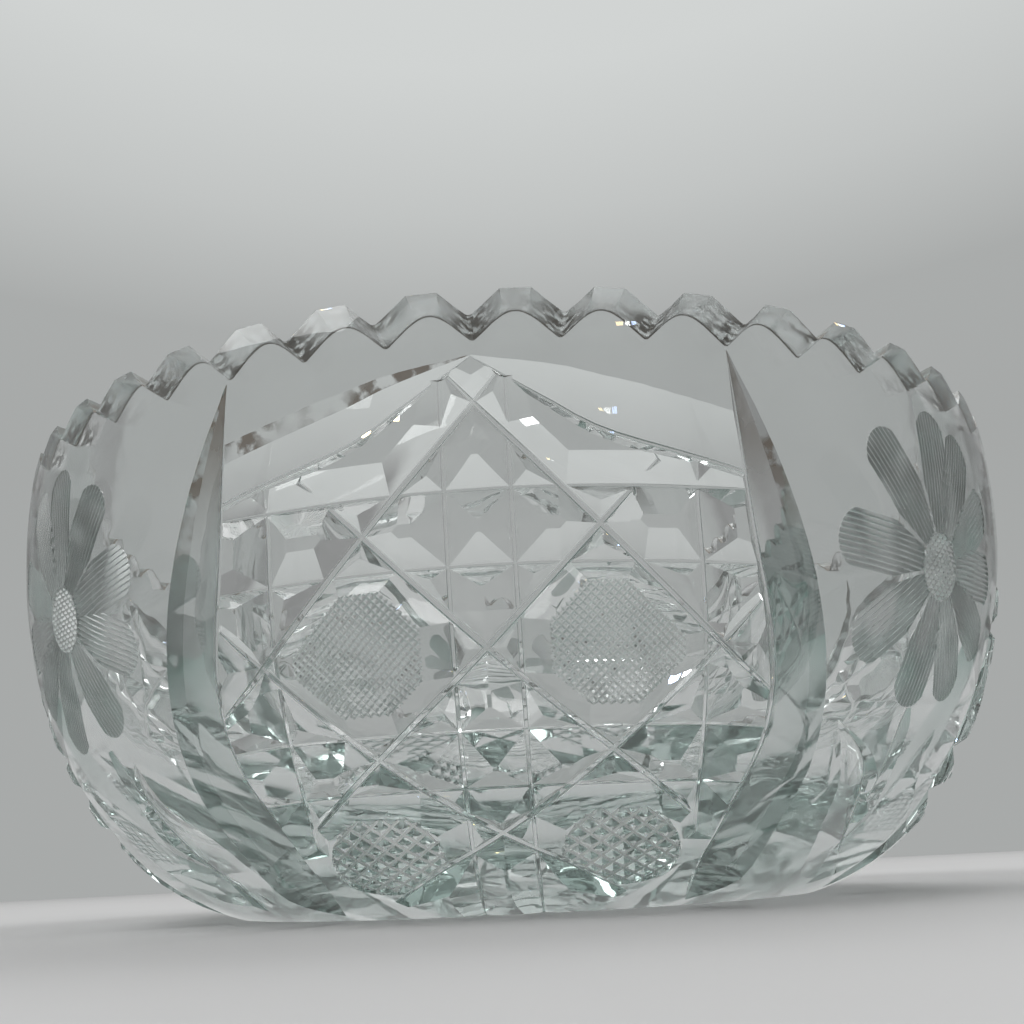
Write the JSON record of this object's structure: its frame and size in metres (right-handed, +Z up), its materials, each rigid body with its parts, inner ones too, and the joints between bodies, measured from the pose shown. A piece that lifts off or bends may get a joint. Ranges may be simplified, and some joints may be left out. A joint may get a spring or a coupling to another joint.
{
  "type": "cut crystal bowl",
  "caption": "Thick round bowl of clear cut glass with a toothed rim, lattice and flower panels, and a flat base; holds fruit, sweets or salad.",
  "frame": {"origin": "middle of the base, on the plane that the bowl stands on", "axes": "+Z up along the bowl's axis; a lattice panel faces -Y, and the others +X, +Y and -X, with a flower panel between each two"},
  "size_m": [0.204, 0.204, 0.0826],
  "materials": {
    "crystal": "polished clear lead crystal"
  },
  "bodies": {
    "root": {"bowl": "crystal"}
  },
  "joints": []
}
